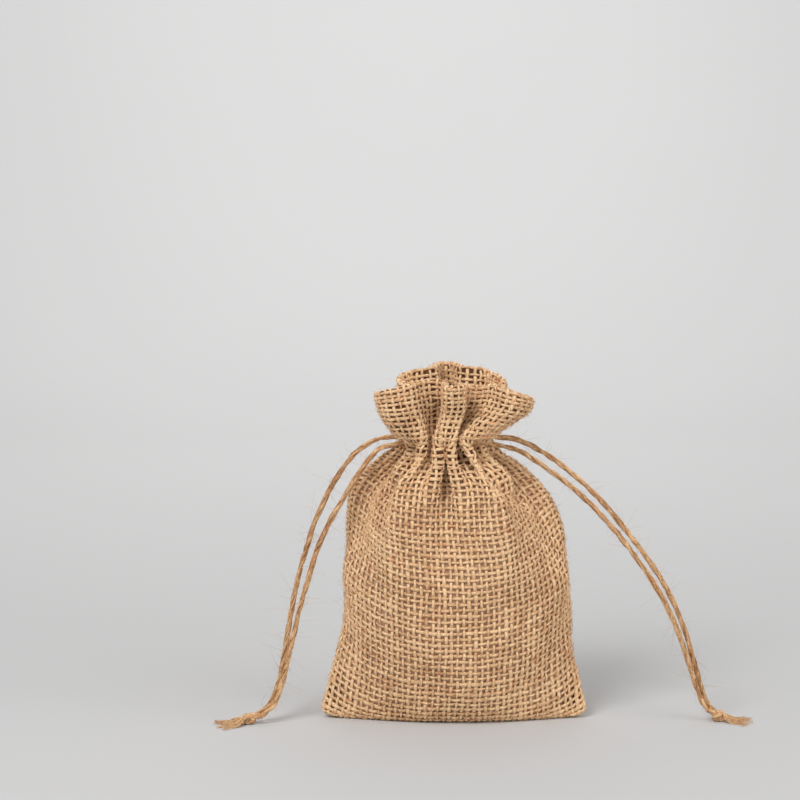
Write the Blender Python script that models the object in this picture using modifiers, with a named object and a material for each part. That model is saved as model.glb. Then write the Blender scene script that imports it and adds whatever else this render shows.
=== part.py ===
"""A small burlap drawstring sack, standing on its base with its neck drawn in.

The sack is one length of hessian, folded at the bottom and sewn up both sides. Two twines run in its
hem: each leaves the neck as two strands, at one side, and ends in a knot with a frayed tail.
Tables are in millimetres and the model is in metres. X runs along the base, the front faces -Y and
Z is up. The girth is measured round the sack from the left side seam, along the front to the right
side seam at half the girth, and back along the rear.
"""

import math
from collections import namedtuple

import bmesh
import bpy
import numpy as np
from mathutils import Vector

MM = 0.001

# Cloth: its length round the sack, its thickness, and the least half-depth where the two panels meet.
GIRTH = 196.0
CLOTH = 1.2
PINCH = 1.7

# How finely an outline is worked out, and the steepest that a fold may turn, in radians.
GIRTH_STEPS = 784
OUTLINE_STEPS = 240
STEEPEST = 2.2
FITTING_ROUNDS = 8
FITTING_LIMITS = (0.7, 1.3)
HALVINGS = 24
TINY = 1e-6
MERGE = 1e-6

# One row for each level of the cloth, by its distance from the bottom fold.
# The four up columns are heights over the level on which the cloth rests, at the middle of the front
# and rear panels and at the two side seams. left, right, front and back are how far the folded cloth
# reaches from the axis, and back is less than nought where all of it lies in front of the axis.
# tip is 1 for an outline that is pointed at the seams and 0.5 for an oval. dip is how close to the
# seams the height changes. gather, lobes and body are shares of the folds.
LEVEL_COLUMNS = "cloth up_front up_back up_left up_right left right front back tip dip gather lobes body"
Level = namedtuple("Level", LEVEL_COLUMNS)
LEVELS = [
    Level(0.0, 0.0, 0.0, 0.8, 0.8, 46.2, 46.2, 4.0, -4.0, 1.0, 12.0, 0.0, 0.0, 0.0),
    Level(2.5, 0.0, 0.0, 2.6, 2.6, 47.5, 47.5, 6.4, -1.4, 1.0, 12.0, 0.0, 0.0, 0.0),
    Level(6.0, 0.0, 0.0, 6.0, 6.0, 47.3, 47.3, 9.6, 2.4, 1.0, 8.0, 0.0, 0.0, 0.0),
    Level(10.0, 0.8, 0.2, 10.2, 10.2, 46.0, 46.3, 12.8, 7.0, 0.95, 5.0, 0.0, 0.0, 0.0),
    Level(15.0, 4.4, 2.4, 15.4, 15.4, 44.6, 45.2, 15.4, 12.0, 0.9, 3.8, 0.0, 0.0, 0.0),
    Level(22.0, 10.6, 8.0, 22.6, 22.6, 42.4, 43.4, 17.8, 16.4, 0.82, 3.2, 0.0, 0.0, 0.0),
    Level(31.0, 19.0, 16.4, 32.0, 32.0, 40.4, 42.3, 19.8, 19.2, 0.72, 2.6, 0.0, 0.0, 0.0),
    Level(42.0, 29.4, 27.2, 43.2, 43.2, 39.6, 41.5, 21.0, 21.0, 0.64, 2.4, 0.0, 0.0, 0.0),
    Level(54.0, 41.0, 39.4, 55.2, 55.2, 39.2, 40.8, 21.4, 21.4, 0.6, 2.2, 0.1, 0.0, 1.0),
    Level(66.0, 52.6, 51.6, 66.8, 66.8, 38.6, 39.6, 21.4, 21.4, 0.58, 2.0, 0.1, 0.0, 1.0),
    Level(76.0, 62.4, 61.8, 76.0, 75.6, 38.4, 37.4, 21.3, 21.3, 0.55, 2.0, 0.2, 0.0, 1.0),
    Level(84.0, 69.8, 69.8, 83.0, 81.8, 37.0, 34.4, 21.2, 21.2, 0.5, 2.0, 0.3, 0.0, 1.0),
    Level(91.0, 76.6, 76.8, 88.2, 86.6, 33.6, 30.2, 20.8, 20.8, 0.5, 2.0, 0.5, 0.0, 1.0),
    Level(97.0, 82.4, 82.8, 91.6, 90.2, 30.0, 26.2, 19.8, 20.0, 0.5, 2.0, 0.7, 0.0, 1.0),
    Level(102.0, 87.2, 87.8, 94.4, 93.2, 26.6, 22.2, 18.2, 18.4, 0.5, 2.0, 0.85, 0.0, 0.8),
    Level(106.0, 90.8, 91.4, 96.6, 95.6, 23.4, 18.0, 16.2, 16.4, 0.5, 2.0, 1.0, 0.0, 0.5),
    Level(110.0, 94.4, 95.0, 98.8, 98.2, 20.6, 14.4, 14.0, 14.4, 0.5, 2.0, 1.0, 0.0, 0.2),
    Level(114.0, 98.4, 98.8, 101.0, 100.8, 19.2, 12.6, 13.0, 13.4, 0.5, 2.0, 1.0, 0.0, 0.0),
    Level(118.0, 102.2, 102.8, 103.4, 103.4, 19.8, 13.4, 13.2, 13.8, 0.5, 2.0, 0.6, 0.7, 0.0),
    Level(123.0, 107.1, 107.8, 106.6, 106.3, 23.2, 17.6, 14.6, 15.4, 0.5, 2.0, 0.3, 0.9, 0.0),
    Level(128.0, 112.0, 112.8, 109.4, 108.2, 25.8, 22.4, 16.0, 17.0, 0.5, 2.0, 0.15, 1.0, 0.0),
    Level(133.0, 116.8, 117.8, 111.8, 109.4, 27.2, 25.6, 17.0, 18.4, 0.5, 2.0, 0.1, 1.0, 0.0),
    Level(138.0, 121.6, 122.8, 113.8, 110.2, 28.0, 26.8, 17.8, 19.4, 0.5, 2.0, 0.05, 1.0, 0.0),
    Level(142.0, 125.4, 127.0, 115.4, 110.8, 28.4, 27.0, 18.2, 20.0, 0.5, 2.0, 0.0, 1.0, 0.0),
]

# Folds, by the place along the girth at which each one's valley lies, and how strongly it stands out.
Fold = namedtuple("Fold", "valley strength")
GATHERS = [
    Fold(8, 1.0), Fold(20, 1.07), Fold(34, 1.08), Fold(47, 1.07), Fold(59, 1.09), Fold(76, 1.02),
    Fold(90, 1.12), Fold(106, 1.02), Fold(120, 1.09), Fold(137, 1.06), Fold(149, 1.08), Fold(162, 1.06),
    Fold(176, 1.0), Fold(188, 1.1),
]
LOBES = [Fold(36, 1.5), Fold(60, 1.5), Fold(106, 0.9), Fold(137, 1.0), Fold(162, 0.9), Fold(188, 1.3)]
LOBE_SLITS = 0.8  # how narrow the lobes' valleys are, from nought for plain waves
BODY_FOLDS = [Fold(8, 0.6), Fold(47, 0.6), Fold(90, 1.1), Fold(120, 0.8), Fold(149, 0.9), Fold(176, 1.1)]
COLUMNS_IN_A_FOLD = (0.0, 0.1, 0.25, 0.4, 0.5, 0.6, 0.75, 0.9)

# Where along the girth the frill's edge hangs lower, how wide and how deep, and the level at which it starts.
Sag = namedtuple("Sag", "along wide deep")
SAGS = [Sag(48.0, 10.0, 3.0), Sag(62.0, 5.0, 2.5)]
SAG_START = 116.0

# Ties. Each strand's points run from the neck to its knot, and the knots lie on the surface.
TWINE = 2.0
POINT_SPACING = 2.5 * TWINE
TWINE_SIDES = 2
Point = namedtuple("Point", "x y z")
STRANDS = {
    "cord_left_rear": [
        Point(-20.5, 0.5, 102.6), Point(-28.0, 0.0, 101.6), Point(-35.8, -0.8, 96.6),
        Point(-43.2, -2.2, 86.8), Point(-49.2, -3.6, 74.6), Point(-53.4, -5.0, 62.6),
        Point(-56.6, -6.4, 51.0), Point(-59.0, -7.6, 39.0), Point(-61.0, -8.6, 27.0),
        Point(-63.0, -9.6, 16.0), Point(-66.0, -10.6, 7.6), Point(-70.6, -11.8, 3.4),
    ],
    "cord_left_front": [
        Point(-21.4, -1.9, 100.2), Point(-27.2, -2.2, 98.4), Point(-33.4, -3.2, 91.4),
        Point(-39.4, -5.0, 82.0), Point(-45.0, -6.4, 72.4), Point(-49.6, -7.8, 62.0),
        Point(-53.0, -9.2, 50.6), Point(-56.4, -10.2, 38.6), Point(-59.2, -11.2, 26.6),
        Point(-61.8, -12.2, 15.6), Point(-65.0, -13.2, 7.2), Point(-70.0, -14.4, 2.6),
    ],
    "cord_right_rear": [
        Point(14.0, 0.8, 102.4), Point(22.8, 0.8, 101.4), Point(32.6, 0.4, 96.4),
        Point(43.6, -0.4, 88.4), Point(54.8, -1.4, 77.4), Point(66.2, -2.6, 63.4),
        Point(75.8, -4.0, 49.4), Point(82.6, -5.2, 35.0), Point(87.0, -6.4, 20.6),
        Point(90.6, -7.4, 8.6), Point(92.8, -7.8, 4.6),
    ],
    "cord_right_front": [
        Point(15.2, -1.6, 99.8), Point(22.6, -1.8, 98.0), Point(31.0, -2.6, 93.0),
        Point(41.8, -3.6, 85.2), Point(53.0, -4.4, 74.6), Point(64.2, -5.4, 61.0),
        Point(73.6, -6.6, 47.4), Point(80.4, -7.8, 33.6), Point(85.2, -8.8, 19.8),
        Point(89.2, -9.8, 8.0), Point(91.8, -10.2, 4.0),
    ],
}

# Knots: the middle of each one, and the heading in which its tail lies, in degrees from +X.
Knot = namedtuple("Knot", "x y z heading")
KNOTS = {"left": Knot(-74.0, -13.8, 1.7, 197.0), "right": Knot(95.4, -9.8, 1.7, -12.0)}
KNOT_TWINE = 2.1
KNOT_LOOP = 0.52
KNOT_STEPS = 30
KNOT_GRAIN = 0.42
GAP = 0.3
END_LENGTH = 0.8

# The tail: both strands' ends together, then frayed into bundles of fibre that lie on the surface.
TAIL = 2.7
TAIL_LENGTH = 5.2
FRAY = 0.5
FRAY_LENGTHS = (6.0, 8.4, 7.2, 9.4, 8.0, 9.8, 7.0, 8.8, 6.4)
FRAY_SPREAD = 66.0
FRAY_ROOTS = 2.3
FRAY_LAYERS = 1.0
FRAY_SUNK = 1.6
FRAY_START = 0.4

# How far along its length a bundle has come, and how much of its way down to the surface, at each point.
Reach = namedtuple("Reach", "along down")
FRAY_SHAPE = (Reach(0.5, 0.8), Reach(0.75, 1.0), Reach(1.0, 1.0))

Look = namedtuple("Look", "colour roughness")
HESSIAN = Look((0.50, 0.30, 0.16), 0.95)
JUTE = Look((0.56, 0.36, 0.19), 0.9)


def fold_wave(along, folds, slits=0.0):
    """How the cloth turns along a row of folds: out after each valley and back in after each crest."""
    wave = np.zeros(len(along))
    for i, fold in enumerate(folds):
        width = (folds[(i + 1) % len(folds)].valley - fold.valley) % GIRTH
        into = (along - fold.valley) % GIRTH
        inside = into < width
        share = into[inside] / width
        turn = np.sin(2 * math.pi * share) * np.abs(np.cos(math.pi * share)) ** slits
        wave[inside] = fold.strength * turn / turn.max(initial=TINY)
    return wave


def half_outline(level, side):
    """Points of the unfolded outline's front (side -1) or rear (side 1), from one seam to the other."""
    turn = np.linspace(0, math.pi, OUTLINE_STEPS + 1)
    wide = (level.left + level.right) / 2
    depth = (level.front + level.back) / 2
    pinch = min(PINCH, depth)
    from_end = wide * (1 - np.abs(np.cos(turn))) / max(pinch, TINY)
    rounding = np.sqrt(1 - (1 - np.clip(from_end, 0, 1)) ** 2)
    out = (depth - pinch) * np.sin(turn) ** (2 * level.tip) + pinch * rounding
    return np.column_stack([side * wide * np.cos(turn), side * out])


def steepness(wave, share):
    """How steeply the folds turn when they shorten the cloth to a share of its length."""
    low, high = 0.0, STEEPEST
    for _ in range(HALVINGS):
        middle = (low + high) / 2
        if np.cos(middle * wave).mean() > share:
            low = middle
        else:
            high = middle
    return low


def folded_along(base, wave):
    """The path of cloth that follows an unfolded outline and turns with the wave as it goes."""
    edges = np.diff(base, axis=0)
    lengths = np.hypot(edges[:, 0], edges[:, 1])
    headings = np.unwrap(np.arctan2(edges[:, 1], edges[:, 0]))
    steep = steepness(wave, lengths.sum() / GIRTH)
    run = np.concatenate([[0], np.cumsum(np.cos(steep * wave))])
    seam = GIRTH_STEPS // 2
    front, rear = lengths[:OUTLINE_STEPS].sum(), lengths[OUTLINE_STEPS:].sum()
    on_front = run[: seam + 1] / run[seam] * front
    on_rear = front + (run[seam + 1 :] - run[seam]) / (run[-1] - run[seam]) * rear
    travelled = np.concatenate([on_front, on_rear])
    middles = np.cumsum(lengths) - lengths / 2
    heading = np.interp((travelled[1:] + travelled[:-1]) / 2, middles, headings) - steep * wave
    steps = np.column_stack([np.cos(heading), np.sin(heading)]) * GIRTH / GIRTH_STEPS
    path = np.vstack([[0, 0], np.cumsum(steps, axis=0)])
    return path - path[-1] * np.linspace(0, 1, GIRTH_STEPS + 1)[:, None]


def folded_outline(level):
    """The (x, y) of the folded cloth at one level, at even steps along the girth from the left seam."""
    along = (np.arange(GIRTH_STEPS) + 0.5) * GIRTH / GIRTH_STEPS
    wave = (
        level.gather * fold_wave(along, GATHERS)
        + level.lobes * fold_wave(along, LOBES, LOBE_SLITS)
        + level.body * fold_wave(along, BODY_FOLDS)
    )
    wave /= max(np.abs(wave).max(), TINY)
    reach = np.array([level.left + level.right, level.front + level.back])
    share = np.ones(2)
    for _ in range(FITTING_ROUNDS):
        front = half_outline(level, -1) * share
        rear = half_outline(level, 1) * share
        path = folded_along(np.vstack([front, rear[1:]]), wave)
        spans = np.ptp(path, axis=0)
        share *= np.clip(reach / spans, *FITTING_LIMITS)
    return (path - path.min(axis=0)) * reach / spans - (level.left, level.front)


def cloth_heights(level, along):
    """Heights of the cloth's middle at one level, which change from the panels' middles to the seams."""
    half = GIRTH / 2
    to_seam = np.abs((along % half) - half / 2) / (half / 2)
    middle = np.where(along < half, level.up_front, level.up_back)
    seam = np.where((along < half / 2) | (along > GIRTH - half / 2), level.up_left, level.up_right)
    up_frill = np.clip((level.cloth - SAG_START) / (LEVELS[-1].cloth - SAG_START), 0, 1) ** 2
    hang = up_frill * sum(sag.deep * np.exp(-(((along - sag.along) / sag.wide) ** 2)) for sag in SAGS)
    return CLOTH / 2 + middle + (seam - middle) * to_seam**level.dip - hang


def bottom_row(level, along):
    """Points of the bottom fold: a straight line under the sack, there along the front and back."""
    there_and_back = 1 - np.abs(1 - along / GIRTH * 2)
    x = -level.left + (level.left + level.right) * there_and_back
    return np.column_stack([x, np.full(len(along), -level.front), cloth_heights(level, along)])


def sack_row(level, along):
    """Points of the cloth's middle at one level above the bottom fold."""
    outline = folded_outline(level)
    places = np.linspace(0, GIRTH, GIRTH_STEPS + 1)
    x = np.interp(along, places, outline[:, 0])
    y = np.interp(along, places, outline[:, 1])
    return np.column_stack([x, y, cloth_heights(level, along)])


def columns():
    """Places along the girth, closest together at the valleys and crests of the gathers."""
    places = []
    for i, fold in enumerate(GATHERS):
        width = (GATHERS[(i + 1) % len(GATHERS)].valley - fold.valley) % GIRTH
        places += [(fold.valley + share * width) % GIRTH for share in COLUMNS_IN_A_FOLD]
    return np.array(sorted(places))


def material(name, look):
    made = bpy.data.materials.new(name)
    made.use_nodes = True
    shader = made.node_tree.nodes["Principled BSDF"]
    shader.inputs["Base Color"].default_value = (*look.colour, 1)
    shader.inputs["Roughness"].default_value = look.roughness
    shader.inputs["Metallic"].default_value = 0.0
    return made


def add_object(name, data, collection, look):
    made = bpy.data.objects.new(name, data)
    collection.objects.link(made)
    if look:
        data.materials.append(material(name, look))
    return made


def make_sack(collection):
    """The cloth: a grid from the bottom fold up to the frill's edge, closed below and open at the top."""
    along = columns()
    count = len(along)
    grid = bmesh.new()
    bottom, *above = LEVELS
    front = [grid.verts.new(Vector(point) * MM) for point in bottom_row(bottom, along)[: count // 2 + 1]]
    rows = [front + front[-2:0:-1]]
    for level in above:
        rows.append([grid.verts.new(Vector(point) * MM) for point in sack_row(level, along)])
    for lower, upper in zip(rows, rows[1:]):
        for i in range(count):
            after = (i + 1) % count
            grid.faces.new((lower[i], lower[after], upper[after], upper[i]))
    mesh = bpy.data.meshes.new("sack")
    grid.to_mesh(mesh)
    grid.free()
    mesh.shade_smooth()
    sack = add_object("sack", mesh, collection, HESSIAN)
    shell = sack.modifiers.new("Cloth", "SOLIDIFY")
    shell.thickness = CLOTH * MM
    shell.offset = 0
    shell.use_even_offset = True
    shell.use_quality_normals = True


def smooth_route(points, spacing):
    """Places on a smooth curve through a route's points, at most a spacing apart."""
    route = np.array(points, float)
    route = np.vstack([2 * route[0] - route[1], route, 2 * route[-1] - route[-2]])
    places = []
    for before, start, end, after in zip(route, route[1:], route[2:], route[3:]):
        steps = max(1, math.ceil(np.linalg.norm(end - start) / spacing))
        for u in np.arange(steps) / steps:
            square = 2 * before - 5 * start + 4 * end - after
            cube = 3 * (start - end) + after - before
            places.append(start + 0.5 * ((end - before) * u + square * u**2 + cube * u**3))
    return places + [route[-2]]


def tube(name, points, diameter, resolution=TWINE_SIDES):
    """A capped curve along the points, as thick as the diameter."""
    curve = bpy.data.curves.new(name, "CURVE")
    curve.dimensions = "3D"
    curve.bevel_depth = diameter / 2 * MM
    curve.bevel_resolution = resolution
    curve.use_fill_caps = True
    spline = curve.splines.new("POLY")
    spline.points.add(len(points) - 1)
    for place, point in zip(spline.points, points):
        place.co = (*(Vector(point) * MM), 1)
    return curve


def joined(name, curves, collection):
    """One mesh holding the closed bodies of several curves."""
    merged = bmesh.new()
    for curve in curves:
        carrier = bpy.data.objects.new(name, curve)
        collection.objects.link(carrier)
        bpy.context.view_layer.update()
        piece = bpy.data.meshes.new_from_object(carrier.evaluated_get(bpy.context.evaluated_depsgraph_get()))
        merged.from_mesh(piece)
        bpy.data.objects.remove(carrier)
        bpy.data.meshes.remove(piece)
    bmesh.ops.remove_doubles(merged, verts=merged.verts, dist=MERGE)
    mesh = bpy.data.meshes.new(name)
    merged.to_mesh(mesh)
    merged.free()
    return mesh


def knot_loop(middle):
    """The closed path of a tight overhand knot, wound about its middle."""
    points = []
    for turn in np.linspace(0, 2 * math.pi, KNOT_STEPS + 1):
        out = KNOT_LOOP * (2 + math.cos(3 * turn))
        place = (out * math.cos(2 * turn), out * math.sin(2 * turn), KNOT_LOOP * math.sin(3 * turn))
        points.append(middle + Vector(place))
    return points


def strand_end(route, middle):
    """The path of the piece of a strand that goes into the knot, a gap past the strand's own solid."""
    end, before = Vector(route[-1]), Vector(route[-2])
    into = (end - before).normalized()
    return [end + into * GAP, end + into * (GAP + END_LENGTH), middle]


def fray_route(number, tail_end, ahead, across, height):
    """The path of one bundle of fibre: out of the tail, down, and along the surface."""
    length = FRAY_LENGTHS[number]
    place = 2 * number / (len(FRAY_LENGTHS) - 1) - 1
    turn = math.radians(place * FRAY_SPREAD / 2)
    out = ahead * math.cos(turn) + across * math.sin(turn)
    layer = Vector((0, 0, FRAY_LAYERS * (number % 2 - 0.5)))
    down = Vector((0, 0, FRAY / 2 - height))
    root = tail_end + across * place * FRAY_ROOTS / 2
    start = [root - ahead * FRAY_SUNK + layer, root + ahead * FRAY_START + layer]
    return start + [root + out * length * reach.along + down * reach.down for reach in FRAY_SHAPE]


def make_knot(side, collection, guides):
    """A knot with the strands' ends going in, and its tail frayed and spread flat on the surface."""
    knot = KNOTS[side]
    name = f"knot_{side}"
    middle = Vector((knot.x, knot.y, knot.z))
    heading = math.radians(knot.heading)
    ahead = Vector((math.cos(heading), math.sin(heading), 0))
    across = Vector((-ahead.y, ahead.x, 0))
    tail_end = middle + ahead * TAIL_LENGTH
    pieces = [tube(name, knot_loop(middle), KNOT_TWINE), tube(name, [middle, tail_end], TAIL)]
    for strand in ("rear", "front"):
        pieces.append(tube(name, strand_end(STRANDS[f"cord_{side}_{strand}"], middle), TWINE))
    body = add_object(name, joined(name, pieces, collection), collection, JUTE)
    remesh = body.modifiers.new("One body", "REMESH")
    remesh.mode = "VOXEL"
    remesh.voxel_size = KNOT_GRAIN * MM
    remesh.use_smooth_shade = True
    routes = [fray_route(i, tail_end, ahead, across, knot.z) for i in range(len(FRAY_LENGTHS))]
    frays = joined(f"{name}_frays", [tube(name, route, FRAY, 0) for route in routes], guides)
    tail = add_object(f"{name}_frays", frays, guides, None)
    tail.hide_render = True
    tail.display_type = "WIRE"
    union = body.modifiers.new("Frays", "BOOLEAN")
    union.operation = "UNION"
    union.object = tail


def main():
    for old in list(bpy.data.objects):
        bpy.data.objects.remove(old)
    parts = bpy.data.collections.new("Burlap sack")
    guides = bpy.data.collections.new("Burlap sack cutters")
    bpy.context.scene.collection.children.link(parts)
    bpy.context.scene.collection.children.link(guides)
    make_sack(parts)
    for name, route in STRANDS.items():
        add_object(name, tube(name, smooth_route(route, POINT_SPACING), TWINE), parts, JUTE)
    for side in KNOTS:
        make_knot(side, parts, guides)


main()
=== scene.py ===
"""Dresses the burlap sack's solids: woven hessian with its hem, twisted ties, knots, frayed tails and fuzz.

Tables are in millimetres and the model is in metres. X runs along the base, the front faces -Y and Z is
up. The girth is measured round the sack from the left side seam, along the front to the right side seam
at half the girth, and back along the rear.
"""

import math
from collections import namedtuple
from contextlib import contextmanager
from functools import partialmethod

import bmesh
import bpy
import numpy as np
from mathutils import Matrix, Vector


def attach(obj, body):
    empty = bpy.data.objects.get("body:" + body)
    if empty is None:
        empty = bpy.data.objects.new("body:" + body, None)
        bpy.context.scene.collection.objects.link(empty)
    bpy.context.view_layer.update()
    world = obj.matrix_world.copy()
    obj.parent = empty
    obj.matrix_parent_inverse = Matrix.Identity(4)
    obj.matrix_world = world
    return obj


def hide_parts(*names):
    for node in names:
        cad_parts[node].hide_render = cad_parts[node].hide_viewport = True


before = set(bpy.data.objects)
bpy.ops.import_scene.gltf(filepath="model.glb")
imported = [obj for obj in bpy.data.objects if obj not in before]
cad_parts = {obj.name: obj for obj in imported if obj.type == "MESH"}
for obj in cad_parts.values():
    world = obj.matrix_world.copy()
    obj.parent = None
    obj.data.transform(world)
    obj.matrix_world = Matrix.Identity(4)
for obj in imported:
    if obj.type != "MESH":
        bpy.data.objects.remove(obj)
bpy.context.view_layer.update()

bl_info = {
    "name": "Burlap Sack",
    "version": (1, 0, 0),
    "blender": (4, 5, 0),
    "location": "3D View > Sidebar > Burlap Sack",
    "description": "Weaves the sack's cloth and lays its ties, knots and tails",
    "category": "Add Mesh",
}

MM = 0.001

# Cloth: its length round the sack, its height, its thickness, and the least half-depth at a side seam.
GIRTH = 196.0
HEIGHT = 142.0
CLOTH = 1.2
PINCH = 1.7

# How finely the surface is worked out, the steepest that a fold may turn, in radians, and how often and how
# far an outline is fitted to its reach.
GIRTH_STEPS = 784
HEIGHT_STEP = 0.5
OUTLINE_STEPS = 240
STEEPEST = 2.2
FITTING_ROUNDS = 8
FITTING_LIMITS = (0.7, 1.3)
HALVINGS = 24
TINY = 1e-6  # keeps divisors above nought and rows inside the grid
MERGE = 1e-6  # metres within which vertices become one

# One row for each level of the cloth, by its distance from the bottom fold. The up columns are heights at
# the middles of the panels and at the side seams. left, right, front and back are the folded cloth's
# reach. tip and dip shape the outline. gather, lobes and body share out the folds, and are nought low down.
LEVEL_COLUMNS = "cloth up_front up_back up_left up_right left right front back tip dip gather lobes body"
Level = namedtuple("Level", LEVEL_COLUMNS, defaults=(0.0, 0.0, 0.0))
LEVELS = [Level(*row) for row in (
    (0.0, 0.0, 0.0, 0.8, 0.8, 46.2, 46.2, 4.0, -4.0, 1.0, 12.0),
    (2.5, 0.0, 0.0, 2.6, 2.6, 47.5, 47.5, 6.4, -1.4, 1.0, 12.0),
    (6.0, 0.0, 0.0, 6.0, 6.0, 47.3, 47.3, 9.6, 2.4, 1.0, 8.0),
    (10.0, 0.8, 0.2, 10.2, 10.2, 46.0, 46.3, 12.8, 7.0, 0.95, 5.0),
    (15.0, 4.4, 2.4, 15.4, 15.4, 44.6, 45.2, 15.4, 12.0, 0.9, 3.8),
    (22.0, 10.6, 8.0, 22.6, 22.6, 42.4, 43.4, 17.8, 16.4, 0.82, 3.2),
    (31.0, 19.0, 16.4, 32.0, 32.0, 40.4, 42.3, 19.8, 19.2, 0.72, 2.6),
    (42.0, 29.4, 27.2, 43.2, 43.2, 39.6, 41.5, 21.0, 21.0, 0.64, 2.4),
    (54.0, 41.0, 39.4, 55.2, 55.2, 39.2, 40.8, 21.4, 21.4, 0.6, 2.2, 0.1, 0.0, 1.0),
    (66.0, 52.6, 51.6, 66.8, 66.8, 38.6, 39.6, 21.4, 21.4, 0.58, 2.0, 0.1, 0.0, 1.0),
    (76.0, 62.4, 61.8, 76.0, 75.6, 38.4, 37.4, 21.3, 21.3, 0.55, 2.0, 0.2, 0.0, 1.0),
    (84.0, 69.8, 69.8, 83.0, 81.8, 37.0, 34.4, 21.2, 21.2, 0.5, 2.0, 0.3, 0.0, 1.0),
    (91.0, 76.6, 76.8, 88.2, 86.6, 33.6, 30.2, 20.8, 20.8, 0.5, 2.0, 0.5, 0.0, 1.0),
    (97.0, 82.4, 82.8, 91.6, 90.2, 30.0, 26.2, 19.8, 20.0, 0.5, 2.0, 0.7, 0.0, 1.0),
    (102.0, 87.2, 87.8, 94.4, 93.2, 26.6, 22.2, 18.2, 18.4, 0.5, 2.0, 0.85, 0.0, 0.8),
    (106.0, 90.8, 91.4, 96.6, 95.6, 23.4, 18.0, 16.2, 16.4, 0.5, 2.0, 1.0, 0.0, 0.5),
    (110.0, 94.4, 95.0, 98.8, 98.2, 20.6, 14.4, 14.0, 14.4, 0.5, 2.0, 1.0, 0.0, 0.2),
    (114.0, 98.4, 98.8, 101.0, 100.8, 19.2, 12.6, 13.0, 13.4, 0.5, 2.0, 1.0, 0.0, 0.0),
    (118.0, 102.2, 102.8, 103.4, 103.4, 19.8, 13.4, 13.2, 13.8, 0.5, 2.0, 0.6, 0.7, 0.0),
    (123.0, 107.1, 107.8, 106.6, 106.3, 23.2, 17.6, 14.6, 15.4, 0.5, 2.0, 0.3, 0.9, 0.0),
    (128.0, 112.0, 112.8, 109.4, 108.2, 25.8, 22.4, 16.0, 17.0, 0.5, 2.0, 0.15, 1.0, 0.0),
    (133.0, 116.8, 117.8, 111.8, 109.4, 27.2, 25.6, 17.0, 18.4, 0.5, 2.0, 0.1, 1.0, 0.0),
    (138.0, 121.6, 122.8, 113.8, 110.2, 28.0, 26.8, 17.8, 19.4, 0.5, 2.0, 0.05, 1.0, 0.0),
    (142.0, 125.4, 127.0, 115.4, 110.8, 28.4, 27.0, 18.2, 20.0, 0.5, 2.0, 0.0, 1.0, 0.0),
)]

# Folds, by the place along the girth at which each one's valley lies, and how strongly it stands out.
Fold = namedtuple("Fold", "valley strength")
GATHERS = [Fold(*row) for row in (
    (8, 1.0), (20, 1.07), (34, 1.08), (47, 1.07), (59, 1.09), (76, 1.02), (90, 1.12), (106, 1.02),
    (120, 1.09), (137, 1.06), (149, 1.08), (162, 1.06), (176, 1.0), (188, 1.1),
)]
LOBES = [Fold(36, 1.5), Fold(60, 1.5), Fold(106, 0.9), Fold(137, 1.0), Fold(162, 0.9), Fold(188, 1.3)]
LOBE_SLITS = 0.8  # how narrow the lobes' valleys are, from nought for plain waves
BODY_FOLDS = [Fold(8, 0.6), Fold(47, 0.6), Fold(90, 1.1), Fold(120, 0.8), Fold(149, 0.9), Fold(176, 1.1)]

# Where along the girth the frill's edge hangs lower, how wide and how deep, and the level from which it
# starts to hang.
Sag = namedtuple("Sag", "along wide deep")
SAGS = [Sag(48.0, 10.0, 3.0), Sag(62.0, 5.0, 2.5)]
SAG_START = 116.0

# Soft dents in the cloth: waves round the girth, millimetres up the cloth for one wave, depth, and the angle
# at which a wave starts. They begin a little above the bottom fold and are full at the second height.
Dent = namedtuple("Dent", "round tall deep start")
DENTS = [
    Dent(3, 70.0, 0.30, 0.4), Dent(5, -46.0, 0.26, 2.1), Dent(7, 38.0, 0.20, 4.0), Dent(9, -31.0, 0.16, 5.2),
    Dent(13, 27.0, 0.12, 1.3), Dent(17, -22.0, 0.09, 3.3),
]
DENTS_START, DENTS_FULL = 6.0, 24.0

# Creases that the drawn neck pulls in the cloth: both ends, round the girth and up the cloth, and how deep
# and wide each one is.
Crease = namedtuple("Crease", "along up along_end up_end deep wide")
CREASES = [
    Crease(60.0, 112.0, 86.0, 88.0, 2.4, 3.0), Crease(47.0, 110.5, 47.0, 98.0, 2.2, 2.0),
    Crease(36.0, 119.0, 36.5, 133.0, 1.5, 1.3), Crease(27.0, 110.0, 16.0, 92.0, 1.2, 2.4),
]

# Hem's edge: where the cloth turns over at the top, on which radius, how far it comes down inside, and how
# many wefts that part has.
HEM_TOP = 141.0
HEM_RADIUS = 0.75
HEM_INSIDE = 7.2
HEM_WEFTS = 4

# The tie's channel in the hem, and how far it stands out.
CHANNEL = (109.0, 119.0)
CHANNEL_SWELL = 0.5

# Stitches in a row below the channel and one above it: how many to a row, how much of its spacing each one
# spans, how far it arches out, its radius and steps, how far it strays and how deep its ends sink.
STITCH_ROWS = (108.6, 119.4)
STITCHES = 54
STITCH_SHARE = 0.62
STITCH_LIFT = 0.95
STITCH_THREAD = 0.24
STITCH_STEPS = 7
STITCH_STRAY = (-0.15, 0.15)
STITCH_SUNK = 0.1
STITCH_TONE = 0.25

# Ground sheet: its columns and rows, how far it lies inside the yarns, and where it rises into their middle.
# It carries painted shade: nearly black where the cloth gathers at the neck and in the frill, and darker at
# the bottom corners.
GROUND_GRID = (197, 122)
GROUND_IN = 0.55
GROUND_RISES = (104.0, 114.0)
GROUND_LOWEST = 0.1
PAINTED_SHADE_UP = (88.0, 112.0)
CORNER_ACROSS = (30.0, 46.0)
CORNER_UP = (10.0, 30.0)

# Waver is how a value wanders along a yarn: the steps from one random value to the next, and its reach.
Waver = namedtuple("Waver", "spacing reach")

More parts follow.
